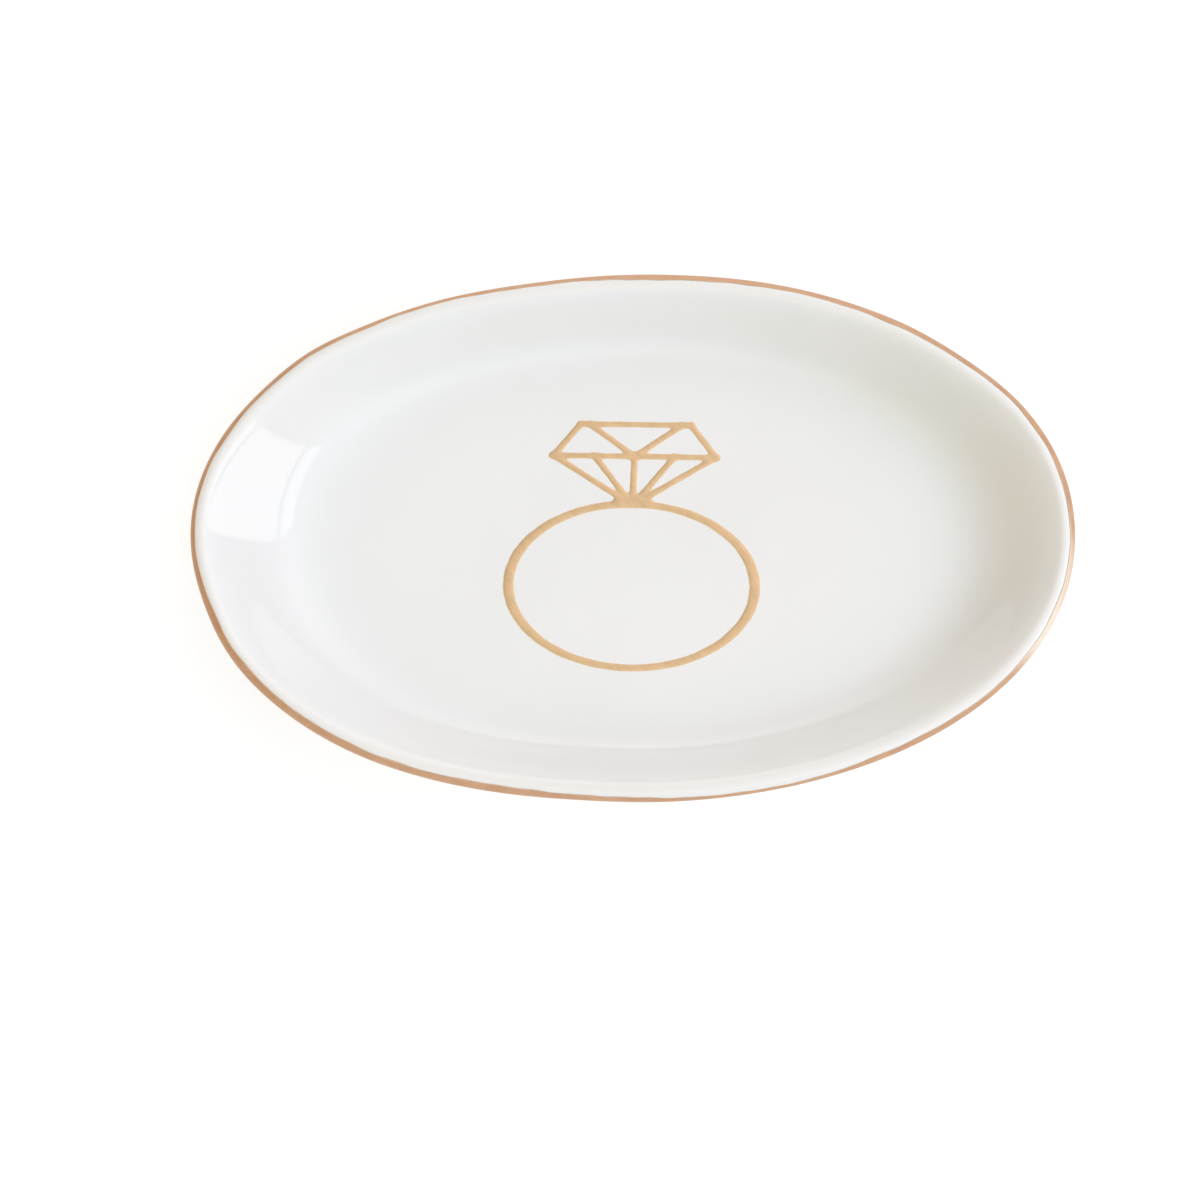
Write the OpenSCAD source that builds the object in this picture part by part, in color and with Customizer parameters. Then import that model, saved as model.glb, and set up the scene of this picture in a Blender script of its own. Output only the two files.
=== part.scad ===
// Oval porcelain ring dish, in millimetres: a coupe dish on a foot ring, with a gilded
// lip and a gold line drawing of a gem ring in its well.
// The origin is on the table under the middle of the dish, +X along its length, +Z up.

/* [Dish] */
// Length over the glazed lip
dish_l = 120; // [104:1:160]
// Width over the glazed lip
dish_w = 73; // [62:1:100]
// Height from the table to the top of the glazed lip
dish_h = 14; // [11:0.5:22]
// Squareness of the plan: 2 is a true ellipse, more is fuller between the ends and sides
squareness = 2.08; // [2:0.02:2.6]
// Share of its small high and low spots that the hand-finished lip keeps
hand_finish = 1; // [0:0.1:1]

/* [Well and wall] */
// Length of the flat well
well_l = 66; // [60:1:78]
// Width of the flat well
well_w = 40; // [38:1:48]
// Thickness of the porcelain under the well
base_t = 2.8; // [2.2:0.1:4]
// Thickness of the porcelain at the lip
lip_t = 2.4; // [1.6:0.1:3.2]
// Turn of the wall's curve: past 180 degrees the wall eases out again below the lip
wall_turn = 295; // [200:5:320]
// How late the wall's curve sets in: 1 starts at the well's edge, more keeps it flat for longer
wall_ease = 1.9; // [1:0.1:2.4]

/* [Foot ring] */
// Length of the foot ring along the middle of its bearing face
foot_l = 56; // [46:1:58]
// Width of the foot ring along the middle of its bearing face
foot_w = 32; // [26:1:33]
// Height of the underside above the table
foot_h = 2.2; // [1.8:0.1:3.5]
// Thickness of the foot ring
foot_t = 3; // [2:0.1:3.6]
// Radius of the hollow curve where the foot ring meets the underside
foot_fillet = 0.9; // [0.5:0.1:1.2]
// Bevel on both edges of the ground bearing face
foot_bevel = 0.4; // [0.2:0.1:0.6]

/* [Glaze] */
// Thickness of the glaze
glaze_t = 0.25; // [0.15:0.05:0.4]
// Height of the bare band that is wiped clean above the table
bare_h = 0.8; // [0.7:0.1:1.2]

/* [Gilding] */
// Thickness of the gold, on the lip and in the well
gold_t = 0.08; // [0.05:0.01:0.15]
// Angle of the gold's inner edge on the lip: 0 is the widest point, 90 the top
gild_top = 53; // [45:1:60]
// Share of the lip's outer underside that the gold runs down
gild_under = 0.5; // [0.2:0.05:0.8]

/* [Gem ring drawing] */
// Width of the band's upright strokes
nib_x = 1.45; // [1:0.05:2]
// Width of the band's level strokes
nib_y = 0.95; // [0.7:0.05:1.5]
// Width of the gem's upright strokes
gem_nib_x = 0.7; // [0.5:0.05:1.4]
// Width of the gem's level strokes
gem_nib_y = 0.6; // [0.4:0.05:1.2]
// Length of the band along its middle line
band_l = 33.8; // [26:0.1:38]
// Width of the band along its middle line
band_w = 22.9; // [18:0.1:24]
// Distance from the middle of the well down to the middle of the band
band_drop = 5.5; // [4:0.1:6.5]
// Length of the gem's flat top
table_l = 15.2; // [11:0.1:18]
// Length of the gem at its girdle
girdle_l = 22.4; // [19:0.1:26]
// Length of the gem's lower end
culet_l = 3.6; // [2.5:0.1:5]
// Height of the gem above its girdle
crown_h = 4.5; // [3:0.1:5.5]
// Height of the gem below its girdle
pavilion_h = 5.8; // [4.5:0.1:6.5]
// Height of the setting between the band's middle line and the gem's lower end
setting_h = 0.9; // [0.5:0.1:1.6]
// Distance of the slanting facet lines from the ends of the gem's flat top
facet_inset = 1.2; // [0.6:0.1:2]
// Half the distance between the inner facet lines where they leave the girdle
facet_reach = 5.5; // [4:0.1:7]
// Turn of the whole drawing
drawing_turn = -1.6; // [-6:0.1:6]
// Lean of the gem to the right of upright
gem_lean = 1.7; // [-4:0.1:4]

/* [Hidden] */

// Points round the oval, and rows of points up the wall, round the lip's gold and round a fillet
around = 60;
wall_rows = 9;
gild_rows = 4;
fillet_rows = 2;
// Sides of the pen's tip and of the band
nib_sides = 24;
band_sides = 96;
// Step in degrees for the slope of an outline
slope_step = 0.5;
radian = 180 / PI;

// High and low spots of the lip: direction and half-width in degrees, height in mm
spots = [
    [27, 7, -0.3], [58, 16, 0.2], [112, 16, -0.3], [150, 6, 0.4],
    [188, 7, -0.5], [216, 13, 0.35], [256, 15, -0.25]
];
// Where the brush carried the gold higher or lower: direction and half-width in degrees, added angle
brush_swells = [[124, 14, -7], [155, 10, 4], [200, 22, 22], [246, 12, 9], [300, 22, -13]];

// The lip's middle line
lip_l = dish_l - lip_t - 2 * glaze_t;
lip_w = dish_w - lip_t - 2 * glaze_t;
lip_z = dish_h - glaze_t - lip_t / 2;
// The wall's middle surface where it leaves the well, and its rise to the lip
well_mid_z = foot_h + base_t / 2;
wall_rise = lip_z - well_mid_z;
// The glazed face of the well, which carries the drawing
well_z = foot_h + base_t + glaze_t;

porcelain = "#e9e6df";
glaze_white = "#f2f2ef";
gold = "#d0a26a";

// Plain helpers

function total(v) = v * [for (x = v) 1];

function turn_between(a, b) = abs((a - b + 540) % 360 - 180);

// A smooth swell of 1 at its middle direction that dies away over its half-width
function swell(a, middle, half_width) = exp(-pow(turn_between(a, middle) / half_width, 2));

// Outlines, as the distance from the middle in direction a

function oval(l, w, a) =
    pow(pow(abs(cos(a)) * 2 / l, squareness) + pow(abs(sin(a)) * 2 / w, squareness), -1 / squareness);

function spot_height(a) = hand_finish * total([for (s = spots) s[2] * swell(a, s[0], s[1])]);

function lip_reach(a) = oval(lip_l, lip_w, a) + spot_height(a);

function well_reach(a) = oval(well_l, well_w, a);

function foot_reach(a) = oval(foot_l, foot_w, a);

// Distance of the wall's middle surface, from the well's edge (t = 0) to the lip (t = 1). The
// wall goes out quickly at first and then more slowly, which holds off its rise.
function wall_reach(a, t) = well_reach(a) + (lip_reach(a) - well_reach(a)) * pow(t, 1 / wall_ease);

function wall_reach_slope(a, t) =
    (wall_reach(a + slope_step, t) - wall_reach(a - slope_step, t)) * radian / (2 * slope_step);

function foot_reach_slope(a) =
    (foot_reach(a + slope_step) - foot_reach(a - slope_step)) * radian / (2 * slope_step);

// Unit vector that points squarely out of an outline with this reach and slope
function outward(a, reach, slope) =
    [reach * cos(a) + slope * sin(a), reach * sin(a) - slope * cos(a)] / norm([reach, slope]);

// Direction of each station, closer together round the ends than along the sides
function station(i) = atan2(dish_w * sin(360 * i / around), dish_l * cos(360 * i / around));

// Wall: a share of the rise that starts level and, past half a turn, eases out below the lip

wall_norm = 1 - sin(wall_turn) * radian / wall_turn;

function wall_lift(t) = (t - sin(wall_turn * t) * radian / wall_turn) / wall_norm;

function wall_lift_slope(t) = (1 - cos(wall_turn * t)) / wall_norm;

function wall_t(t) = (1 - t) * base_t + t * lip_t;

// Slope of the wall at this station, in degrees above level
function wall_tilt(a, t) =
    let (
        reach = wall_reach(a, t),
        slope = wall_reach_slope(a, t),
        lift = wall_rise * wall_lift_slope(t) * wall_ease * pow(t, 1 - 1 / wall_ease),
        run = (lip_reach(a) - well_reach(a)) * reach
    )
    atan2(lift * norm([reach, slope]), run);

// Point at a distance from the wall's middle surface, in the direction lift above level
function wall_point(a, t, lift, distance) =
    let (
        reach = wall_reach(a, t),
        out = outward(a, reach, wall_reach_slope(a, t)) * distance * cos(lift),
        z = well_mid_z + wall_rise * wall_lift(t) + distance * sin(lift)
    )
    [reach * cos(a) + out[0], reach * sin(a) + out[1], z];

// Point beside the foot ring's middle line, x outward from it
function foot_point(a, x, z) =
    let (reach = foot_reach(a), out = outward(a, reach, foot_reach_slope(a)) * x)
    [reach * cos(a) + out[0], reach * sin(a) + out[1], z];

// Lip: from the inner face over the top to the outer face, with the gold's edges on rows

function gild_inner_edge(a) = gild_top + total([for (b = brush_swells) b[2] * swell(a, b[0], b[1])]);

function gild_outer_edge(a) = gild_under * (wall_tilt(a, 1) - 90);

function gild_lift(a, k) = gild_inner_edge(a) + (gild_outer_edge(a) - gild_inner_edge(a)) * k / gild_rows;

function lip_shoulder_lift(a) = (wall_tilt(a, 1) + 90 + gild_inner_edge(a)) / 2;

// Rings of points. skin is the distance of the ring from the fired porcelain's face.

function inside_rings(skin) = [
    for (k = [0:wall_rows])
        let (t = k / wall_rows)
        [for (i = [0:around - 1])
            let (a = station(i))
            wall_point(a, t, wall_tilt(a, t) + 90, wall_t(t) / 2 + skin)]
];

function outside_rings(skin) = [
    for (k = [wall_rows:-1:0])
        let (t = k / wall_rows)
        [for (i = [0:around - 1])
            let (a = station(i))
            wall_point(a, t, wall_tilt(a, t) - 90, wall_t(t) / 2 + skin)]
];

function shoulder_ring(skin) = [
    for (i = [0:around - 1])
        let (a = station(i))
        wall_point(a, 1, lip_shoulder_lift(a), lip_t / 2 + skin)
];

function gild_ring(k, skin) = [
    for (i = [0:around - 1])
        let (a = station(i))
        wall_point(a, 1, gild_lift(a, k), lip_t / 2 + skin)
];

function lip_rings(skin) = concat([shoulder_ring(skin)], [for (k = [0:gild_rows]) gild_ring(k, skin)]);

function foot_ring_at(x, z) = [for (i = [0:around - 1]) foot_point(station(i), x, z)];

// Hollow curve at the foot's root, outside (side = 1) or inside (side = -1)
function fillet_rings(side, skin) = [
    for (k = [0:fillet_rows])
        let (
            turn = side > 0 ? 90 + 90 * k / fillet_rows : 90 * k / fillet_rows,
            x = side * (foot_t / 2 + foot_fillet) + (foot_fillet - skin) * cos(turn),
            z = foot_h - foot_fillet + (foot_fillet - skin) * sin(turn)
        )
        foot_ring_at(x, z)
];

function glaze_line_ring(side, skin) = foot_ring_at(side * (foot_t / 2 + skin), bare_h);

// Everything that the coat covers, from the well over the lip down to the glaze line
function coat_rings(skin) = concat(
    inside_rings(skin),
    lip_rings(skin),
    outside_rings(skin),
    fillet_rings(1, skin),
    [glaze_line_ring(1, skin)]
);

// Everything that the base glaze covers, from its glaze line to the middle of the underside
function base_rings(skin) = concat([glaze_line_ring(-1, skin)], fillet_rings(-1, skin));

// The bare foot, drawn a bevel too deep so that grinding can cut it flat
bearing_rings = [
    foot_ring_at(foot_t / 2, foot_bevel),
    foot_ring_at(foot_t / 2 - 2 * foot_bevel, -foot_bevel),
    foot_ring_at(2 * foot_bevel - foot_t / 2, -foot_bevel),
    foot_ring_at(-foot_t / 2, foot_bevel)
];

function reversed(v) = [for (i = [len(v) - 1:-1:0]) v[i]];

function flat_list(v) = [for (part = v) for (x = part) x];

// Triangles between the rings that start at points p and q. turned cuts each quad along
// the other diagonal, so that two skins in opposite order meet triangle to triangle.
function row_faces(p, q, turned) = [
    for (i = [0:around - 1])
        let (j = (i + 1) % around)
        each turned
            ? [[p + i, p + j, q + i], [q + i, p + j, q + j]]
            : [[p + i, q + j, q + i], [p + i, p + j, q + j]]
];

// Triangles between neighbouring rings of a stack whose first point is at start
function stack_faces(rows, start, turned) = [
    for (k = [0:rows - 2])
        each row_faces(start + k * around, start + (k + 1) * around, turned)
];

function fan_faces(pole, p, turned) = [
    for (i = [0:around - 1])
        let (j = (i + 1) % around)
        turned ? [pole, p + i, p + j] : [pole, p + j, p + i]
];

// Closed solid between two poles, over one stack of rings
module shell_solid(first_pole, rings, last_pole) {
    last = len(rings) * around + 1;
    polyhedron(
        points = concat([first_pole], flat_list(rings), [last_pole]),
        faces = concat(
            fan_faces(0, 1, false),
            stack_faces(len(rings), 1, false),
            fan_faces(last, last - around, true)
        )
    );
}

// Layer between two faces that meet at its free edge. The first stack of rings runs from
// its pole out to the edge, the second from the edge back to its own pole.
module layer_solid(first_pole, first, second, last_pole, turned) {
    rows = len(first);
    second_start = 1 + rows * around;
    last = 1 + 2 * rows * around;
    polyhedron(
        points = concat([first_pole], flat_list(first), flat_list(second), [last_pole]),
        faces = concat(
            fan_faces(0, 1, false),
            stack_faces(rows, 1, turned),
            row_faces(second_start - around, second_start, turned),
            stack_faces(rows, second_start, !turned),
            fan_faces(last, last - around, true)
        )
    );
}

// Closed band: the outer face's rings and then the inner face's, back to the first ring
module band_solid(outer, inner) {
    turn_row = len(outer) - 1;
    rows = len(outer) + len(inner);
    polyhedron(
        points = concat(flat_list(outer), flat_list(inner)),
        faces = [
            for (k = [0:rows - 1])
                each row_faces(k * around, (k + 1) % rows * around, k >= turn_row)
        ]
    );
}

// Fired porcelain: well, wall, lip and foot ring in one, ground flat where it stands
module porcelain_body() {
    well_pole = [0, 0, foot_h + base_t];
    base_pole = [0, 0, foot_h];
    color(porcelain)
    difference() {
        shell_solid(well_pole, concat(coat_rings(0), bearing_rings, base_rings(0)), base_pole);
        translate([-dish_l, -dish_w, -2 * foot_bevel])
            cube([2 * dish_l, 2 * dish_w, 2 * foot_bevel]);
    }
}

// Glaze over the well, the wall and the lip, and down the outside to the foot
module glaze_coat() {
    color(glaze_white)
    layer_solid(
        [0, 0, well_z], coat_rings(glaze_t),
        reversed(coat_rings(0)), [0, 0, foot_h + base_t],
        false
    );
}

// Glaze on the underside within the foot ring
module glaze_base() {
    color(glaze_white)
    layer_solid(
        [0, 0, foot_h], reversed(base_rings(0)),
        base_rings(glaze_t), [0, 0, foot_h - glaze_t],
        true
    );
}

// Gold line over the lip, brushed out to nothing at both edges
module rim_gilding() {
    outer_skin = glaze_t + gold_t;
    color(gold)
    band_solid(
        concat(
            [gild_ring(0, glaze_t)],
            [for (k = [1:gild_rows - 1]) gild_ring(k, outer_skin)],
            [gild_ring(gild_rows, glaze_t)]
        ),
        [for (k = [gild_rows - 1:-1:1]) gild_ring(k, glaze_t)]
    );
}

// Drawing, seen from above with the middle of the band at its origin

culet_y = band_w / 2 + setting_h;
girdle_y = culet_y + pavilion_h;
table_y = girdle_y + crown_h;

// A point of the gem, leaned to the right by its height over the culet
function gem(x, y) = [x + (y - culet_y) * tan(gem_lean), y];

// The gem's pen, a little broader across than up and down
module nib() { scale([gem_nib_x / gem_nib_y, 1]) circle(d = gem_nib_y, $fn = nib_sides); }

module stroke(p, q) {
    hull() {
        translate(p) nib();
        translate(q) nib();
    }
}

module strokes(pairs) { for (pair = pairs) stroke(pair[0], pair[1]); }

module oval_plate(l, w) { scale([l / w, 1]) circle(d = w, $fn = band_sides); }

module band_shape() {
    difference() {
        oval_plate(band_l + nib_x, band_w + nib_y);
        oval_plate(band_l - nib_x, band_w - nib_y);
    }
}

// The setting spreads from the gem's lower end to the band
module setting_shape() {
    hull() {
        for (side = [-1, 1]) {
            translate(gem(side * culet_l / 2, culet_y)) nib();
            translate([side * culet_l / 2, band_w / 2]) nib();
        }
    }
}

module outline_shape() {
    strokes([
        [gem(-table_l / 2, table_y), gem(table_l / 2, table_y)],
        [gem(-table_l / 2, table_y), gem(-girdle_l / 2, girdle_y)],
        [gem(table_l / 2, table_y), gem(girdle_l / 2, girdle_y)],
        [gem(-girdle_l / 2, girdle_y), gem(-culet_l / 2, culet_y)],
        [gem(girdle_l / 2, girdle_y), gem(culet_l / 2, culet_y)]
    ]);
}

module facet_shape() {
    mid_girdle = gem(0, girdle_y);
    strokes([
        [gem(-girdle_l / 2, girdle_y), gem(girdle_l / 2, girdle_y)],
        [gem(facet_inset - table_l / 2, table_y), mid_girdle],
        [gem(table_l / 2 - facet_inset, table_y), mid_girdle],
        [gem(-facet_reach, girdle_y), gem(-culet_l / 4, culet_y)],
        [gem(facet_reach, girdle_y), gem(culet_l / 4, culet_y)],
        [mid_girdle, gem(0, culet_y)]
    ]);
}

// Lays a flat shape of gold on the glazed well
module laid_gold() {
    color(gold)
    translate([0, 0, well_z])
        rotate(drawing_turn)
            translate([0, -band_drop, 0])
                linear_extrude(gold_t) children();
}

module emblem_band() { laid_gold() band_shape(); }

module emblem_setting() {
    laid_gold() difference() { setting_shape(); oval_plate(band_l + nib_x, band_w + nib_y); }
}

module emblem_gem_outline() {
    laid_gold() difference() {
        outline_shape();
        setting_shape();
        oval_plate(band_l + nib_x, band_w + nib_y);
    }
}

module emblem_gem_facets() {
    laid_gold() difference() { facet_shape(); outline_shape(); setting_shape(); }
}

porcelain_body();
glaze_coat();
glaze_base();
rim_gilding();
emblem_band();
emblem_setting();
emblem_gem_outline();
emblem_gem_facets();
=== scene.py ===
"""Looks of the oval porcelain ring dish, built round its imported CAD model.

The fine meshes repeat the part's own formulas with more points. The wall's curve eases out
a little less below the lip than the CAD solid's, and stays within half a millimetre of it.
Sizes are in millimetres until make_mesh turns them into metres.
"""

import functools
import math

import bpy
import numpy as np
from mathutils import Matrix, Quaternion, Vector


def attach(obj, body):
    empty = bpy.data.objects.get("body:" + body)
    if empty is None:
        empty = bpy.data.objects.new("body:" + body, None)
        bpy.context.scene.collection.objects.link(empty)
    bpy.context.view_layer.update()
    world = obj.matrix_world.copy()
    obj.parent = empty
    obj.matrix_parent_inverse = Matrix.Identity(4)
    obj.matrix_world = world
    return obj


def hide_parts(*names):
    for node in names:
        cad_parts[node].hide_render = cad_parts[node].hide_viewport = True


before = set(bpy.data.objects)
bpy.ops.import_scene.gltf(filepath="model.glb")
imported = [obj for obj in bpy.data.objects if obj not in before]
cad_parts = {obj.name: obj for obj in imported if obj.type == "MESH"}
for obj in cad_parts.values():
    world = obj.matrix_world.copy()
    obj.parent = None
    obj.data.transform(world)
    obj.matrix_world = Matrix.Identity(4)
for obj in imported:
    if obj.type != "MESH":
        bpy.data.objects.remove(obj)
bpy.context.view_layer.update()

MM = 0.001
RADIAN = 180 / math.pi

# Sizes of the dish, as in the part but for the wall's turn and the gilding's inner edge
DISH_L = 120.0
DISH_W = 73.0
DISH_H = 14.0
SQUARENESS = 2.08
WELL_L = 66.0
WELL_W = 40.0
BASE_T = 2.8
LIP_T = 2.4
WALL_TURN = 270.0
WALL_EASE = 1.9
FOOT_L = 56.0
FOOT_W = 32.0
FOOT_H = 2.2
FOOT_T = 3.0
FOOT_FILLET = 0.9
FOOT_BEVEL = 0.4
GLAZE_T = 0.25
BARE_H = 0.8
GOLD_T = 0.08
GILD_TOP = 60.0
GILD_UNDER = 0.5
SPOTS = [
    (27, 7, -0.3), (58, 16, 0.2), (112, 16, -0.3), (150, 6, 0.4),
    (188, 7, -0.5), (216, 13, 0.35), (256, 15, -0.25),
]
BRUSH_SWELLS = [(40, 40, 11), (85, 25, 9), (149, 7, 6), (198, 20, 12), (294, 27, -27)]

# Sizes of the drawing
NIB_X = 1.45
NIB_Y = 0.95
GEM_NIB_X = 0.7
GEM_NIB_Y = 0.6
# How far the fired film spreads past the pen's track at each edge
BAND_SPREAD = 0.02
GEM_SPREAD = 0.12
# How far the film fills the corners where strokes meet, as a share of half a stroke
FILM_FILLET = 0.4
BAND_L = 33.8
BAND_W = 22.9
BAND_DROP = 5.5
TABLE_L = 15.2
GIRDLE_L = 22.4
CULET_L = 3.6
CROWN_H = 4.5
PAVILION_H = 5.8
SETTING_H = 0.9
# How far the film of the setting flares out at each side where it meets the band
SETTING_FLARE = 0.4
FACET_INSET = 1.2
FACET_REACH = 5.5
DRAWING_TURN = -1.6
GEM_LEAN = 1.7

# Worked out from them
LIP_LINE_L = DISH_L - LIP_T - 2 * GLAZE_T
LIP_LINE_W = DISH_W - LIP_T - 2 * GLAZE_T
LIP_Z = DISH_H - GLAZE_T - LIP_T / 2
WELL_MID_Z = FOOT_H + BASE_T / 2
WALL_RISE = LIP_Z - WELL_MID_Z
WELL_Z = FOOT_H + BASE_T + GLAZE_T
WALL_NORM = 1 - math.sin(WALL_TURN / RADIAN) * RADIAN / WALL_TURN
CULET_Y = BAND_W / 2 + SETTING_H
GIRDLE_Y = CULET_Y + PAVILION_H
TABLE_Y = GIRDLE_Y + CROWN_H

# Fineness of the meshes
AROUND = 360
WALL_ROWS = 48
WELL_ROWS = 8
SHOULDER_ROWS = 7
GILD_ROWS = 14
UNDER_ROWS = 6
FILLET_ROWS = 6
EDGE_ROWS = 5
FILM_CELL = 0.11


# Outline formulas, on arrays of directions in degrees

def cosd(a):
    return np.cos(np.asarray(a) / RADIAN)


def sind(a):
    return np.sin(np.asarray(a) / RADIAN)


def swell(a, middle, half_width):
    turn = np.abs((a - middle + 540) % 360 - 180)
    return np.exp(-(turn / half_width) ** 2)


def oval(length, width, a):
    along = (np.abs(cosd(a)) * 2 / length) ** SQUARENESS
    across = (np.abs(sind(a)) * 2 / width) ** SQUARENESS
    return (along + across) ** (-1 / SQUARENESS)


def lip_reach(a):
    spots = sum(height * swell(a, middle, half) for middle, half, height in SPOTS)
    return oval(LIP_LINE_L, LIP_LINE_W, a) + spots


def well_reach(a):
    return oval(WELL_L, WELL_W, a)


def foot_reach(a):
    return oval(FOOT_L, FOOT_W, a)


def wall_reach(a, t):
    return well_reach(a) + (lip_reach(a) - well_reach(a)) * t ** (1 / WALL_EASE)


def slope_of(reach, a):
    step = 0.5
    return (reach(a + step) - reach(a - step)) * RADIAN / (2 * step)


def outward(a, reach, slope):
    size = np.hypot(reach, slope)
    return (reach * cosd(a) + slope * sind(a)) / size, (reach * sind(a) - slope * cosd(a)) / size


def stations():
    turn = 360 * np.arange(AROUND) / AROUND
    return np.degrees(np.arctan2(DISH_W * sind(turn), DISH_L * cosd(turn))) % 360


A = stations()


def wall_lift(t):
    return (t - sind(WALL_TURN * t) * RADIAN / WALL_TURN) / WALL_NORM


def wall_tilt(t):
    reach = wall_reach(A, t)
    slope = slope_of(lambda a: wall_reach(a, t), A)
    run = (lip_reach(A) - well_reach(A)) * reach
    steepness = (1 - cosd(WALL_TURN * t)) * WALL_EASE * t ** (1 - 1 / WALL_EASE)
    rise = WALL_RISE * steepness / WALL_NORM * np.hypot(reach, slope)
    return np.degrees(np.arctan2(rise, run))


def wall_t(t):
    return (1 - t) * BASE_T + t * LIP_T


def wall_ring(t, lift, distance):
    """Ring at a distance from the wall's middle surface, in the direction lift above level."""
    reach = wall_reach(A, t)
    out_x, out_y = outward(A, reach, slope_of(lambda a: wall_reach(a, t), A))
    off = distance * cosd(lift)
    z = WELL_MID_Z + WALL_RISE * wall_lift(t) + distance * sind(lift)
    x = reach * cosd(A) + out_x * off
    y = reach * sind(A) + out_y * off
    return np.stack([x, y, z + 0 * x], axis=1)


def foot_ring(x_off, z):
    """Ring beside the foot's middle line, x_off outward from it."""
    reach = foot_reach(A)
    out_x, out_y = outward(A, reach, slope_of(foot_reach, A))
    x = reach * cosd(A) + out_x * x_off
    y = reach * sind(A) + out_y * x_off
    return np.stack([x, y, z + 0 * x], axis=1)


# Hand work: slow waves that close round the oval

def waver(a, seed, waves):
    """Sum of a few waves round the oval, between about -1 and 1."""
    draw = np.random.default_rng(seed)
    phases = draw.uniform(0, 360, len(waves))
    return sum(sind(n * a + p) for n, p in zip(waves, phases)) / len(waves) ** 0.5


def gild_inner_edge():
    swells = sum(angle * swell(A, middle, half) for middle, half, angle in BRUSH_SWELLS)
    brush = 3.0 * waver(A, 3, (5, 9, 14)) + 1.8 * waver(A, 4, (31, 43, 57))
    return GILD_TOP + swells + brush


def gild_outer_edge():
    return GILD_UNDER * (wall_tilt(1.0) - 90) + 4 * waver(A, 5, (4, 11, 23))


def gild_lift(share):
    return gild_inner_edge() + (gild_outer_edge() - gild_inner_edge()) * share


# Rings of the dish's faces. skin is the distance from the fired porcelain's face.

def well_rings(skin):
    flat = []
    for k in range(1, WELL_ROWS):
        ring = np.stack([well_reach(A) * cosd(A), well_reach(A) * sind(A), 0 * A], axis=1)
        ring *= k / WELL_ROWS
        ring[:, 2] = FOOT_H + BASE_T + skin
        flat.append(ring)
    return flat


def wall_shares():
    return [k / WALL_ROWS for k in range(WALL_ROWS + 1)]


def inside_rings(skin):
    return [wall_ring(t, wall_tilt(t) + 90, wall_t(t) / 2 + skin) for t in wall_shares()]


def outside_rings(skin):
    return [wall_ring(t, wall_tilt(t) - 90, wall_t(t) / 2 + skin) for t in wall_shares()[::-1]]


def between(start, end, count):
    """Steps strictly between two arrays of angles."""
    return [start + (end - start) * k / count for k in range(1, count)]


def lip_rings(skin):
    lifts = between(wall_tilt(1.0) + 90, gild_lift(0), SHOULDER_ROWS)
    lifts += [gild_lift(k / GILD_ROWS) for k in range(GILD_ROWS + 1)]
    lifts += between(gild_lift(1), wall_tilt(1.0) - 90, UNDER_ROWS)
    return [wall_ring(1.0, lift, LIP_T / 2 + skin) for lift in lifts]


def fillet_rings(side, skin):
    """Hollow curve at the foot's root, outside (side 1) or inside (side -1)."""
    rings = []
    for k in range(FILLET_ROWS + 1):
        turn = 90 * k / FILLET_ROWS + (90 if side > 0 else 0)
        radius = FOOT_FILLET - skin
        x_off = side * (FOOT_T / 2 + FOOT_FILLET) + radius * cosd(turn)
        rings.append(foot_ring(x_off, FOOT_H - FOOT_FILLET + radius * sind(turn)))
    return rings


def glaze_line(seed):
    """Height of the wiped edge, which the sponge leaves a little uneven."""
    return BARE_H + 0.07 * waver(A, seed, (3, 7, 12)) + 0.03 * waver(A, seed + 1, (29, 41))


def glaze_edge_rings(side, skin, seed):
    """The glaze's rolled edge: it thins to nothing on the foot in a quarter round."""
    rings = []
    for k in range(EDGE_ROWS + 1):
        turn = 90 * k / EDGE_ROWS
        x_off = side * (FOOT_T / 2 + skin * cosd(turn))
        z = glaze_line(seed) + GLAZE_T * (1 - sind(turn))
        rings.append(foot_ring(x_off, z))
    return rings


def coat_rings(skin):
    return (
        well_rings(skin) + inside_rings(skin) + lip_rings(skin) + outside_rings(skin)
        + fillet_rings(1, skin) + glaze_edge_rings(1, skin, 21)
    )


def base_well_rings(skin):
    """Rings of the flat underside within the foot, from the fillet to the middle."""
    rim = foot_ring(-(FOOT_T / 2 + FOOT_FILLET), FOOT_H - skin)
    rings = []
    for share in (0.85, 0.65, 0.4, 0.2):
        ring = rim * share
        ring[:, 2] = FOOT_H - skin
        rings.append(ring)
    return rings


def base_rings(skin):
    edge = glaze_edge_rings(-1, skin, 31)[::-1]
    return edge + fillet_rings(-1, skin) + base_well_rings(skin)


def bearing_rings():
    """The bare foot: its bevels, rounded by wear, and the flat ground face."""
    half = FOOT_T / 2
    turns = (0, 22.5, 45, 67.5, 90)
    outer = [
        foot_ring(half - FOOT_BEVEL * (1 - cosd(turn)), FOOT_BEVEL * (1 - sind(turn)))
        for turn in turns
    ]
    inner = [
        foot_ring(FOOT_BEVEL * (1 - cosd(turn)) - half, FOOT_BEVEL * (1 - sind(turn)))
        for turn in turns[::-1]
    ]
    return outer + [foot_ring(half / 3, 0.0), foot_ring(-half / 3, 0.0)] + inner


# Meshes

def make_mesh(name, points, faces):
    mesh = bpy.data.meshes.new(name)
    mesh.from_pydata((np.asarray(points) * MM).tolist(), [], faces)
    mesh.polygons.foreach_set("use_smooth", [True] * len(mesh.polygons))
    piece = bpy.data.objects.new(name, mesh)
    bpy.context.scene.collection.objects.link(piece)
    return piece


def row_quads(p, q):
    return [
        (p + i, q + i, q + (i + 1) % AROUND, p + (i + 1) % AROUND) for i in range(AROUND)
    ]


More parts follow.
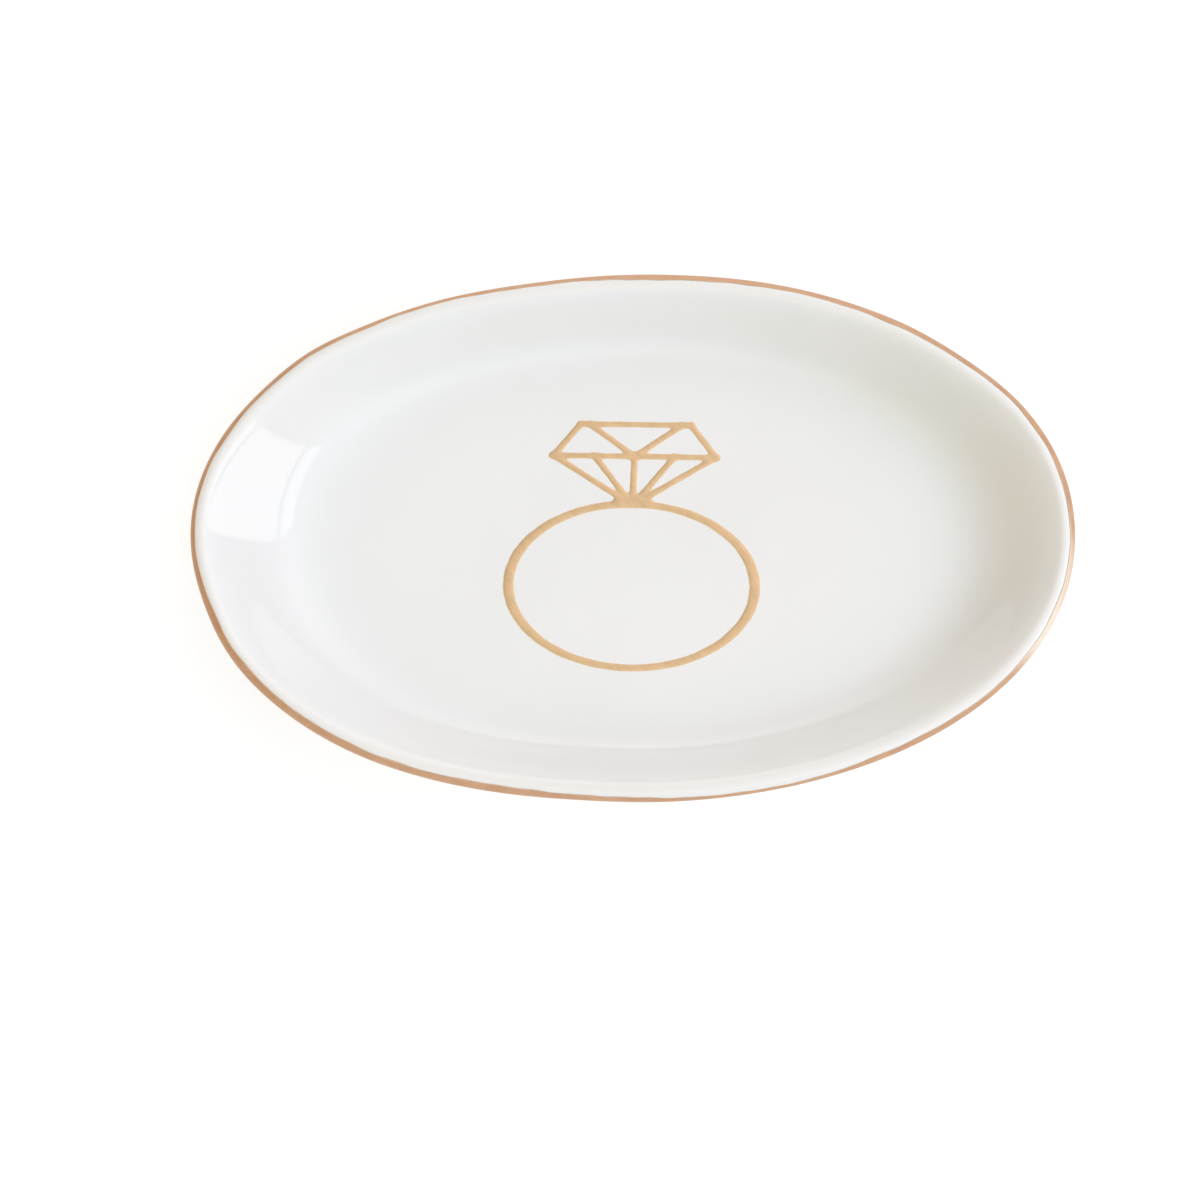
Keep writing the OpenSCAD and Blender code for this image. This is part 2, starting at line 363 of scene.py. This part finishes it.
def poled_mesh(name, first_pole, rings, last_pole):
    """Closed mesh over a stack of rings, with a pole at each end."""
    points = np.concatenate([[first_pole], *rings, [last_pole]])
    last = len(points) - 1
    faces = [(0, 1 + i, 1 + (i + 1) % AROUND) for i in range(AROUND)]
    for k in range(len(rings) - 1):
        faces += row_quads(1 + k * AROUND, 1 + (k + 1) * AROUND)
    tail = last - AROUND
    faces += [(last, tail + (i + 1) % AROUND, tail + i) for i in range(AROUND)]
    return make_mesh(name, points, faces)


def looped_mesh(name, rings):
    """Closed band over rings, the last of which joins the first."""
    faces = []
    for k in range(len(rings)):
        faces += row_quads(k * AROUND, (k + 1) % len(rings) * AROUND)
    return make_mesh(name, np.concatenate(rings), faces)


def set_number(piece, name, values):
    """Stores one number for each vertex, which a material reads by name."""
    layer = piece.data.attributes.new(name, "FLOAT", "POINT")
    layer.data.foreach_set("value", np.asarray(values, dtype=np.float32))


def dress(piece, node, material):
    piece.data.materials.append(material)
    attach(piece, "root")
    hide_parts(node)


# Materials

class Nodes:
    """Short hand for building one material's nodes."""

    def __init__(self, name):
        self.material = bpy.data.materials.new(name)
        self.material.use_nodes = True
        self.tree = self.material.node_tree
        self.shader = self.tree.nodes["Principled BSDF"]

    def add(self, kind, **values):
        node = self.tree.nodes.new("ShaderNode" + kind)
        for key, value in values.items():
            if key in node.inputs:
                node.inputs[key].default_value = value
            else:
                setattr(node, key, value)
        return node

    def link(self, source, target):
        self.tree.links.new(source, target)

    def place(self):
        return self.add("TexCoord").outputs["Object"]

    def noise(self, vector, size_mm, detail=2.0, roughness=0.5):
        node = self.add("TexNoise", Scale=1 / (size_mm * MM), Detail=detail, Roughness=roughness)
        self.link(vector, node.inputs["Vector"])
        return node.outputs["Fac"]

    def ramp(self, value, stops):
        node = self.add("ValToRGB")
        ramp = node.color_ramp
        while len(ramp.elements) < len(stops):
            ramp.elements.new(0.5)
        for element, (place, colour) in zip(ramp.elements, stops):
            element.position = place
            element.color = (*colour, 1)
        self.link(value, node.inputs["Fac"])
        return node.outputs["Color"]

    def spread(self, value, low, high, to_low, to_high):
        node = self.add("MapRange")
        node.inputs["From Min"].default_value = low
        node.inputs["From Max"].default_value = high
        node.inputs["To Min"].default_value = to_low
        node.inputs["To Max"].default_value = to_high
        self.link(value, node.inputs["Value"])
        return node.outputs["Result"]

    def mix(self, share, first, second):
        node = self.add("Mix", data_type="RGBA")
        for number, value in ((0, share), (6, first), (7, second)):
            socket = node.inputs[number]
            if isinstance(value, tuple):
                socket.default_value = (*value, 1)
            elif isinstance(value, (int, float)):
                socket.default_value = value
            else:
                self.link(value, socket)
        return node.outputs[2]

    def number(self, name):
        return self.add("Attribute", attribute_name=name).outputs["Fac"]

    def bump(self, height, strength, distance_mm):
        node = self.add("Bump", Strength=strength, Distance=distance_mm * MM)
        self.link(height, node.inputs["Height"])
        self.link(node.outputs["Normal"], self.shader.inputs["Normal"])

    def set(self, **values):
        for key, value in values.items():
            socket = self.shader.inputs[key.replace("_", " ")]
            if isinstance(value, bpy.types.NodeSocket):
                self.link(value, socket)
            else:
                socket.default_value = value


def glaze_material(name):
    """Clear white gloss: faint tone drifts, a cool cast where it pools, soft orange peel."""
    m = Nodes(name)
    here = m.place()
    drift = m.noise(here, 24, 2.0)
    white = m.ramp(drift, [(0.35, (0.79, 0.79, 0.775)), (0.65, (0.81, 0.81, 0.80))])
    pooled = m.mix(m.number("pool"), white, (0.775, 0.79, 0.78))
    thin = m.mix(m.number("thin"), pooled, (0.80, 0.775, 0.735))
    peel = m.noise(here, 2.4, 2.0, 0.45)
    m.set(Base_Color=thin, IOR=1.52)
    m.set(Roughness=m.spread(m.noise(here, 9, 3.0), 0.3, 0.7, 0.04, 0.08))
    m.set(Subsurface_Weight=0.1, Subsurface_Scale=0.0012, Subsurface_Radius=(1.0, 0.85, 0.7))
    m.bump(peel, 0.10, 0.05)
    return m.material


def bisque_material():
    """Bare porcelain: matt, finely grained, ground and a little soiled where it stands."""
    m = Nodes("bare_porcelain")
    here = m.place()
    grain = m.noise(here, 0.28, 3.0, 0.7)
    smudge = m.noise(here, 6, 3.0, 0.6)
    tone = m.ramp(smudge, [(0.35, (0.74, 0.71, 0.65)), (0.62, (0.80, 0.78, 0.74))])
    speck = m.mix(m.spread(grain, 0.62, 0.72, 0, 0.55), tone, (0.62, 0.57, 0.50))
    soiled = m.mix(m.spread(m.number("ground"), 0, 1, 0, 0.35), speck, (0.50, 0.47, 0.43))
    m.set(Base_Color=soiled, Roughness=m.spread(grain, 0.3, 0.7, 0.62, 0.88))
    m.set(Subsurface_Weight=0.05, Subsurface_Scale=0.001)
    m.bump(grain, 0.35, 0.04)
    return m.material


def gold_material(name, deep, light, pale, gloss, metal):
    """Fired gold lustre: tone shifts, streaks that follow the brush, pale where it is thin and
    where the rim line carries a painted highlight.
    """
    m = Nodes(name)
    cloud = m.noise(m.place(), 3.5, 3.0, 0.6)
    tone = m.ramp(cloud, [(0.32, deep), (0.68, light)])
    brush = m.add("CombineXYZ")
    m.link(m.number("along"), brush.inputs["X"])
    m.link(m.number("across"), brush.inputs["Y"])
    lines = m.add("TexNoise", Scale=1.0, Detail=3.0, Roughness=0.6)
    m.link(brush.outputs["Vector"], lines.inputs["Vector"])
    streak = lines.outputs["Fac"]
    dark = tuple(0.82 * value for value in deep)
    streaked = m.mix(m.spread(streak, 0.42, 0.66, 0, 0.4), tone, dark)
    # Low cover makes the gold pale and less metallic. At the rim line's right end the low cover
    # is a painted highlight.
    cover_and_washout = m.number("film")
    m.set(Base_Color=m.mix(m.spread(cover_and_washout, 0.05, 0.5, 1, 0), streaked, pale))
    m.set(Metallic=m.spread(cover_and_washout, 0.0, 0.5, 0.4 * metal, metal))
    m.set(Roughness=m.spread(cloud, 0.3, 0.7, gloss, gloss + 0.12))
    m.bump(streak, 0.18, 0.02)
    return m.material


coat_glaze = glaze_material("white_glaze")
base_glaze = glaze_material("base_glaze")
bisque = bisque_material()
rim_gold = gold_material(
    "rim_gold", (0.56, 0.315, 0.18), (0.63, 0.39, 0.24), (0.80, 0.70, 0.58), 0.48, 0.4
)
drawing_gold = gold_material(
    "drawing_gold", (0.68, 0.455, 0.245), (0.74, 0.51, 0.285), (0.80, 0.64, 0.42), 0.34, 0.75
)


# The dish

def build_body():
    well_pole = (0, 0, FOOT_H + BASE_T)
    base_pole = (0, 0, FOOT_H)
    rings = coat_rings(0) + bearing_rings() + base_rings(0)
    body = poled_mesh("dish_porcelain", well_pole, rings, base_pole)
    places = np.empty(len(body.data.vertices) * 3, dtype=np.float32)
    body.data.vertices.foreach_get("co", places)
    set_number(body, "ground", np.clip(1 - places[2::3] / (0.3 * MM), 0, 1))
    dress(body, "porcelain_body", bisque)


def stack_numbers(values):
    """One number for each ring, spread over its points, with 0 at both poles."""
    return np.concatenate([[0], np.repeat(values, AROUND), [0]])


def build_coat():
    outer = coat_rings(GLAZE_T)
    rings = outer + coat_rings(0)[::-1]
    coat = poled_mesh("dish_glaze", (0, 0, WELL_Z), rings, (0, 0, FOOT_H + BASE_T))
    # The glaze pools at the foot of the wall and thins over the lip and at its wiped edge
    pool = np.zeros(len(outer))
    thin = np.zeros(len(outer))
    wall_start = WELL_ROWS - 1
    for k in range(WALL_ROWS + 1):
        pool[wall_start + k] = 0.5 * math.exp(-((k / WALL_ROWS - 0.2) / 0.25) ** 2)
    lip_start = wall_start + WALL_ROWS + 1
    lip_rows = SHOULDER_ROWS + GILD_ROWS + UNDER_ROWS - 1
    thin[lip_start:lip_start + lip_rows] = 0.4
    thin[-EDGE_ROWS:] = 0.8
    pool[-EDGE_ROWS - FILLET_ROWS - 2:-EDGE_ROWS - 1] = 1.0
    set_number(coat, "pool", stack_numbers(np.concatenate([pool, pool[::-1]])))
    set_number(coat, "thin", stack_numbers(np.concatenate([thin, thin[::-1]])))
    dress(coat, "glaze_coat", coat_glaze)


def build_base():
    outer = base_rings(GLAZE_T)
    rings = base_rings(0)[::-1] + outer
    base = poled_mesh("dish_base_glaze", (0, 0, FOOT_H), rings, (0, 0, FOOT_H - GLAZE_T))
    pool = np.zeros(len(outer))
    pool[EDGE_ROWS + 1:EDGE_ROWS + FILLET_ROWS + 2] = 1.0
    set_number(base, "pool", stack_numbers(np.concatenate([pool[::-1], pool])))
    dress(base, "glaze_base", base_glaze)


def build_gilding():
    """The brushed line: full in its middle, feathered at both edges, paled at the right end by a
    painted highlight.
    """
    skin = LIP_T / 2 + GLAZE_T
    shares = [k / GILD_ROWS for k in range(GILD_ROWS + 1)]
    inner = [wall_ring(1.0, gild_lift(share), skin) for share in shares]
    overlap = 1 + 0.6 * swell(A, 232, 5)
    # Painted highlight: the cover falls sharply at the right end, where the gold is painted pale
    # and less metallic as if washed out by reflected light. It falls a little at the left end,
    # and slow waves vary it.
    highlight_washout_and_waver = 1 - 0.9 * swell(A, 349, 15) - 0.3 * swell(A, 176, 12) + 0.1 * waver(A, 8, (17, 29))
    outer = []
    cover_and_washout = []
    for k, share in enumerate(shares):
        film = (1 - abs(2 * share - 1) ** 8) * (0.92 + 0.08 * waver(A, 40 + k, (7, 19, 33)))
        distance = skin + 0.55 * GOLD_T * film * overlap
        outer.append(wall_ring(1.0, gild_lift(share), distance))
        cover_and_washout.append(np.clip(film * highlight_washout_and_waver, 0, 1))
    line = looped_mesh("lip_gold_line", outer + inner[-2:0:-1])
    step = np.linalg.norm(np.roll(outer[0], -1, axis=0) - outer[0], axis=1)
    along = np.concatenate([[0], np.cumsum(step)[:-1]])
    order = list(range(GILD_ROWS + 1)) + list(range(GILD_ROWS - 1, 0, -1))
    # The film number of the rim line also carries the painted highlight at its right end.
    set_number(line, "film", np.concatenate([cover_and_washout[k] for k in order]))
    set_number(line, "along", np.tile(along * 0.3, len(order)))
    set_number(line, "across", np.repeat([0.8 * k for k in order], AROUND))
    dress(line, "rim_gilding", rim_gold)


# The drawing: one film of gold whose strokes are the track of a pen

def gem(x, y):
    return x + (y - CULET_Y) * math.tan(GEM_LEAN / RADIAN), y


def gem_strokes():
    table = gem(-TABLE_L / 2, TABLE_Y), gem(TABLE_L / 2, TABLE_Y)
    girdle = gem(-GIRDLE_L / 2, GIRDLE_Y), gem(GIRDLE_L / 2, GIRDLE_Y)
    culet = gem(-CULET_L / 2, CULET_Y), gem(CULET_L / 2, CULET_Y)
    middle = gem(0, GIRDLE_Y)
    outline = [
        table, (table[0], girdle[0]), (table[1], girdle[1]),
        (girdle[0], culet[0]), (girdle[1], culet[1]),
    ]
    facets = [
        girdle,
        (gem(FACET_INSET - TABLE_L / 2, TABLE_Y), middle),
        (gem(TABLE_L / 2 - FACET_INSET, TABLE_Y), middle),
        (gem(-FACET_REACH, GIRDLE_Y), gem(-CULET_L / 4, CULET_Y)),
        (gem(FACET_REACH, GIRDLE_Y), gem(CULET_L / 4, CULET_Y)),
        (middle, gem(0, CULET_Y)),
    ]
    low_reach = CULET_L / 2 + SETTING_FLARE
    low = (-low_reach, BAND_W / 2), (low_reach, BAND_W / 2)
    rows = 3
    setting = []
    for k in range(rows + 1):
        share = k / rows
        ends = [
            (c[0] + (b[0] - c[0]) * share, c[1] + (b[1] - c[1]) * share)
            for c, b in zip(culet, low)
        ]
        setting.append(tuple(ends))
    return outline, facets, setting


def softly_joined(first, second):
    """The greater of two depths, with a hollow fillet where both are near an edge."""
    return np.logaddexp(first / FILM_FILLET, second / FILM_FILLET) * FILM_FILLET


def stroke_depth(x, y, strokes):
    """1 on a stroke's middle line and 0 on its edge, in a space where the nib is round."""
    squash = GEM_NIB_X / GEM_NIB_Y
    depth = np.full(x.shape, -1e3)
    for (px, py), (qx, qy) in strokes:
        dx = qx - px
        dy = (qy - py) * squash
        share = ((x - px) * dx + (y - py) * squash * dy) / (dx * dx + dy * dy)
        share = np.clip(share, 0, 1)
        gap = np.hypot(x - px - share * dx, (y - py) * squash - share * dy)
        depth = softly_joined(depth, 1 - gap / (GEM_NIB_X / 2 + GEM_SPREAD))
    return depth


def band_depth(x, y):
    reach = np.hypot(x, y) + 1e-9
    wide_x = NIB_X + 2 * BAND_SPREAD
    wide_y = NIB_Y + 2 * BAND_SPREAD
    outer = np.hypot(2 * x / (BAND_L + wide_x), 2 * y / (BAND_W + wide_y)) + 1e-9
    inner = np.hypot(2 * x / (BAND_L - wide_x), 2 * y / (BAND_W - wide_y)) + 1e-9
    half = (reach / outer - reach / inner) / 2
    return np.minimum(reach / outer - reach, reach - reach / inner) / half


def hand_shake(x, y):
    """Slight unevenness of the strokes' edges."""
    slow = np.sin(0.9 * x + 1.3 * y + 0.4) * np.sin(1.1 * y - 0.7 * x + 2.0)
    fast = np.sin(3.1 * x - 2.3 * y + 1.0) * np.sin(2.7 * y + 3.7 * x)
    return 0.05 * slow + 0.03 * fast


def film_height(depth):
    """Low crown across a stroke, level with the glaze at its edge."""
    rise = np.clip(depth / 0.8, 0, 1)
    return 0.55 * GOLD_T * (1 - (1 - rise) ** 2)


def film_grid():
    """Depth of the drawing on a fine grid, and which node each of its points belongs to."""
    outline, facets, setting = gem_strokes()
    xs = np.arange(-19.0, 19.0, FILM_CELL)
    ys = np.arange(-13.5, 25.0, FILM_CELL)
    x, y = np.meshgrid(xs, ys, indexing="ij")
    parts = {
        "emblem_band": band_depth(x, y),
        "emblem_setting": stroke_depth(x, y, setting),
        "emblem_gem_outline": stroke_depth(x, y, outline),
        "emblem_gem_facets": stroke_depth(x, y, facets),
    }
    names = list(parts)
    depth = hand_shake(x, y) + functools.reduce(softly_joined, parts.values())
    nearest = np.argmax(list(parts.values()), axis=0)
    owner = nearest.copy()
    owner[parts["emblem_gem_outline"] > -0.3] = names.index("emblem_gem_outline")
    owner[parts["emblem_setting"] > -0.6] = names.index("emblem_setting")
    # The band keeps everything within its outer edge, and what is nearer to it than to the gem
    within_band = np.hypot(2 * x / (BAND_L + NIB_X), 2 * y / (BAND_W + NIB_Y)) < 1.01
    band = names.index("emblem_band")
    owner[within_band | (nearest == band)] = band
    return xs, ys, depth, owner, names


def drawn_place(x, y, z):
    turn = DRAWING_TURN / RADIAN
    y = y - BAND_DROP
    return x * math.cos(turn) - y * math.sin(turn), x * math.sin(turn) + y * math.cos(turn), z


class Film:
    """One closed piece of film: a crowned top and a flat foot that meet along the edge."""

    def __init__(self, xs, ys, depth):
        self.xs = xs
        self.ys = ys
        self.depth = depth
        self.height = film_height(depth)
        self.slopes = np.gradient(self.height, FILM_CELL)
        self.points = []
        self.normals = []
        self.depths = []
        self.flat = []
        self.known = {}
        self.faces = []
        self.edges = {}

    def vertex(self, key, x, y, height, slope, depth):
        if key not in self.known:
            self.known[key] = len(self.points)
            self.points.append(drawn_place(x, y, WELL_Z + height))
            turn = DRAWING_TURN / RADIAN
            lean_x = -slope[0] * math.cos(turn) + slope[1] * math.sin(turn)
            lean_y = -slope[0] * math.sin(turn) - slope[1] * math.cos(turn)
            self.normals.append(Vector((lean_x, lean_y, 1)).normalized())
            self.depths.append(depth)
            self.flat.append((x, y))
        return self.known[key]

    def corner(self, i, j):
        x, y, depth = self.xs[i], self.ys[j], self.depth[i, j]
        slope = self.slopes[0][i, j], self.slopes[1][i, j]
        top = self.vertex(("top", i, j), x, y, self.height[i, j], slope, depth)
        foot = self.vertex(("foot", i, j), x, y, 0.0, (0, 0), depth)
        return top, foot

    def crossing(self, i, j, m, n):
        if (m, n) < (i, j):
            i, j, m, n = m, n, i, j
        first, second = self.depth[i, j], self.depth[m, n]
        share = min(max(first / (first - second), 0.04), 0.96)
        x = self.xs[i] + (self.xs[m] - self.xs[i]) * share
        y = self.ys[j] + (self.ys[n] - self.ys[j]) * share
        inner = (i, j) if first > 0 else (m, n)
        slope = self.slopes[0][inner], self.slopes[1][inner]
        edge = self.vertex(("edge", i, j, m, n), x, y, 0.0, slope, 0.0)
        return edge, edge

    def cell(self, i, j):
        loop = []
        corners = [(i, j), (i + 1, j), (i + 1, j + 1), (i, j + 1)]
        for here, there in zip(corners, corners[1:] + corners[:1]):
            if self.depth[here] > 0:
                loop.append(self.corner(*here))
            if (self.depth[here] > 0) != (self.depth[there] > 0):
                loop.append(self.crossing(*here, *there))
        if len(loop) < 3:
            return
        self.faces.append([top for top, foot in loop])
        self.faces.append([foot for top, foot in reversed(loop)])
        for here, there in zip(loop, loop[1:] + loop[:1]):
            self.edges[here[0], there[0]] = (here, there)

    def close(self):
        """Adds the walls where this piece is cut from its neighbour."""
        for (start, end), (here, there) in self.edges.items():
            if (end, start) in self.edges:
                continue
            wall = [there[0], here[0], here[1], there[1]]
            wall = [v for k, v in enumerate(wall) if v != wall[k - 1]]
            if len(wall) > 2:
                self.faces.append(wall)


def build_drawing():
    piece_names = {
        "emblem_band": "drawn_band",
        "emblem_setting": "drawn_setting",
        "emblem_gem_outline": "drawn_gem_outline",
        "emblem_gem_facets": "drawn_gem_facets",
    }
    xs, ys, depth, owner, names = film_grid()
    inside = depth > 0
    busy = inside[:-1, :-1] | inside[1:, :-1] | inside[:-1, 1:] | inside[1:, 1:]
    for index, node in enumerate(names):
        film = Film(xs, ys, depth)
        for i, j in zip(*np.nonzero(busy & (owner[:-1, :-1] == index))):
            film.cell(int(i), int(j))
        film.close()
        piece = make_mesh(piece_names[node], film.points, film.faces)
        piece.data.normals_split_custom_set_from_vertices(film.normals)
        flat = np.array(film.flat)
        set_number(piece, "film", np.clip(np.array(film.depths) * 4, 0, 1))
        set_number(piece, "along", (flat[:, 0] - flat[:, 1]) * 0.3)
        set_number(piece, "across", (flat[:, 0] + flat[:, 1]) * 0.9)
        dress(piece, node, drawing_gold)


build_body()
build_coat()
build_base()
build_gilding()
build_drawing()


# Studio

PHOTO_PX = 1200
DISH_PX = 887.5
DISH_MIDDLE_PX = (633.2, 535.9)
CAMERA_ELEVATION = 79.3
CAMERA_DISTANCE = 560.0
CAMERA_ROLL = -0.68
SENSOR = 36.0


def build_camera():
    px_per_mm = DISH_PX / DISH_L
    lean = CAMERA_ELEVATION / RADIAN
    aim_x = (PHOTO_PX / 2 - DISH_MIDDLE_PX[0]) / px_per_mm
    aim_y = -(PHOTO_PX / 2 - DISH_MIDDLE_PX[1]) / px_per_mm / math.sin(lean)
    aim = Vector((aim_x, aim_y, LIP_Z)) * MM
    back = Vector((0, -math.cos(lean), math.sin(lean)))
    data = bpy.data.cameras.new("camera")
    data.sensor_width = SENSOR
    data.lens = SENSOR * CAMERA_DISTANCE / (PHOTO_PX / px_per_mm)
    data.clip_start = 0.05
    camera = bpy.data.objects.new("camera", data)
    bpy.context.scene.collection.objects.link(camera)
    camera.location = aim + back * CAMERA_DISTANCE * MM
    camera.rotation_mode = "QUATERNION"
    look = (-back).to_track_quat("-Z", "Y")
    look.rotate(Quaternion(back, CAMERA_ROLL / RADIAN))
    camera.rotation_quaternion = look
    bpy.context.scene.camera = camera


def build_floor():
    half = 3.0
    points = [(-half, -half, 0), (half, -half, 0), (half, half, 0), (-half, half, 0)]
    floor = make_mesh("floor", np.array(points) / MM, [(0, 1, 2, 3)])
    m = Nodes("floor_white")
    patches = m.noise(m.place(), 400, 2.0)
    tone = m.ramp(patches, [(0.3, (0.49, 0.49, 0.49)), (0.7, (0.51, 0.51, 0.51))])
    m.set(Base_Color=tone, Roughness=0.9, Emission_Color=(1, 1, 1, 1), Emission_Strength=0.55)
    floor.data.materials.append(m.material)


# The room's light: direction of each soft patch, in degrees, and its colour
ROOM_SHARPNESS = 8
ROOM = [
    (0, 90, (0.5, 0.55, 0.65)),
    (45, 50, (1.65, 1.55, 1.7)),
    (135, 50, (0.1, 0.1, 0.05)),
    (225, 50, (0.7, 0.7, 0.25)),
    (270, 50, (0.7, 0.8, 0.95)),
    (315, 50, (0.95, 0.95, 1.1)),
    (90, 15, (2.15, 2.15, 2.05)),
    (180, 15, (0.6, 0.2, 0.0)),
    (225, 15, (0.4, 0.35, 0.1)),
    (270, 15, (0.7, 0.8, 1.15)),
    (315, 15, (0.4, 0.3, 0.1)),
]


def build_world():
    """Soft room light: a sum of wide patches, each fading out round its own direction."""
    world = bpy.data.worlds.new("studio")
    world.use_nodes = True
    bpy.context.scene.world = world
    tree = world.node_tree
    where = tree.nodes.new("ShaderNodeTexCoord").outputs["Generated"]
    total = None
    for azimuth, elevation, colour in ROOM:
        a, e = azimuth / RADIAN, elevation / RADIAN
        facing = tree.nodes.new("ShaderNodeVectorMath")
        facing.operation = "DOT_PRODUCT"
        tree.links.new(where, facing.inputs[0])
        facing.inputs[1].default_value = (
            math.cos(a) * math.cos(e), math.sin(a) * math.cos(e), math.sin(e)
        )
        lit = tree.nodes.new("ShaderNodeMath")
        lit.operation = "MAXIMUM"
        lit.inputs[1].default_value = 0
        tree.links.new(facing.outputs["Value"], lit.inputs[0])
        patch = tree.nodes.new("ShaderNodeMath")
        patch.operation = "POWER"
        patch.inputs[1].default_value = ROOM_SHARPNESS
        tree.links.new(lit.outputs[0], patch.inputs[0])
        tinted = tree.nodes.new("ShaderNodeVectorMath")
        tinted.operation = "MULTIPLY_ADD"
        tinted.inputs[1].default_value = colour
        tree.links.new(patch.outputs[0], tinted.inputs[0])
        if total is None:
            tinted.inputs[2].default_value = (0, 0, 0)
        else:
            tree.links.new(total, tinted.inputs[2])
        total = tinted.outputs[0]
    room = tree.nodes["Background"]
    tree.links.new(total, room.inputs["Color"])
    # Behind the floor's far edge the room is seen as plain white
    plain = tree.nodes.new("ShaderNodeBackground")
    plain.inputs["Color"].default_value = (1, 1, 1, 1)
    either = tree.nodes.new("ShaderNodeMixShader")
    seen = tree.nodes.new("ShaderNodeLightPath").outputs["Is Camera Ray"]
    tree.links.new(seen, either.inputs[0])
    tree.links.new(room.outputs[0], either.inputs[1])
    tree.links.new(plain.outputs[0], either.inputs[2])
    tree.links.new(either.outputs[0], tree.nodes["World Output"].inputs["Surface"])


# Two soft panes of light to the right of the dish, in one upright plane. PANE_TURN is the
# direction of the plane from the dish, in degrees, and the rest is in metres: its distance,
# the panes' reach along it, and the heights of their lower and upper edges.
PANE_TURN = 26.0
PANE_DISTANCE = 1.0
PANE_ALONG = (-1.66, -0.23)
PANE_HEIGHTS = [(0.15, 0.87), (1.03, 1.75)]
PANE_RADIANCE = 1.7
PANE_TINT = (1.0, 1.0, 0.97)


def build_panes():
    turn = PANE_TURN / RADIAN
    away = Vector((math.cos(turn), math.sin(turn), 0))
    sideways = Vector((-math.sin(turn), math.cos(turn), 0))
    for number, (low, high) in enumerate(PANE_HEIGHTS):
        data = bpy.data.lights.new(f"light_pane_{number}", "AREA")
        data.shape = "RECTANGLE"
        data.size = PANE_ALONG[1] - PANE_ALONG[0]
        data.size_y = high - low
        data.color = PANE_TINT
        data.energy = PANE_RADIANCE * math.pi * data.size * data.size_y
        pane = bpy.data.objects.new(data.name, data)
        middle = sum(PANE_ALONG) / 2
        pane.location = away * PANE_DISTANCE + sideways * middle
        pane.location.z = (low + high) / 2
        pane.rotation_mode = "QUATERNION"
        pane.rotation_quaternion = away.to_track_quat("Z", "Y")
        pane.visible_camera = False
        bpy.context.scene.collection.objects.link(pane)


build_floor()
build_world()
build_panes()
build_camera()
bpy.context.scene.view_settings.view_transform = "Standard"
bpy.context.scene.view_settings.look = "None"
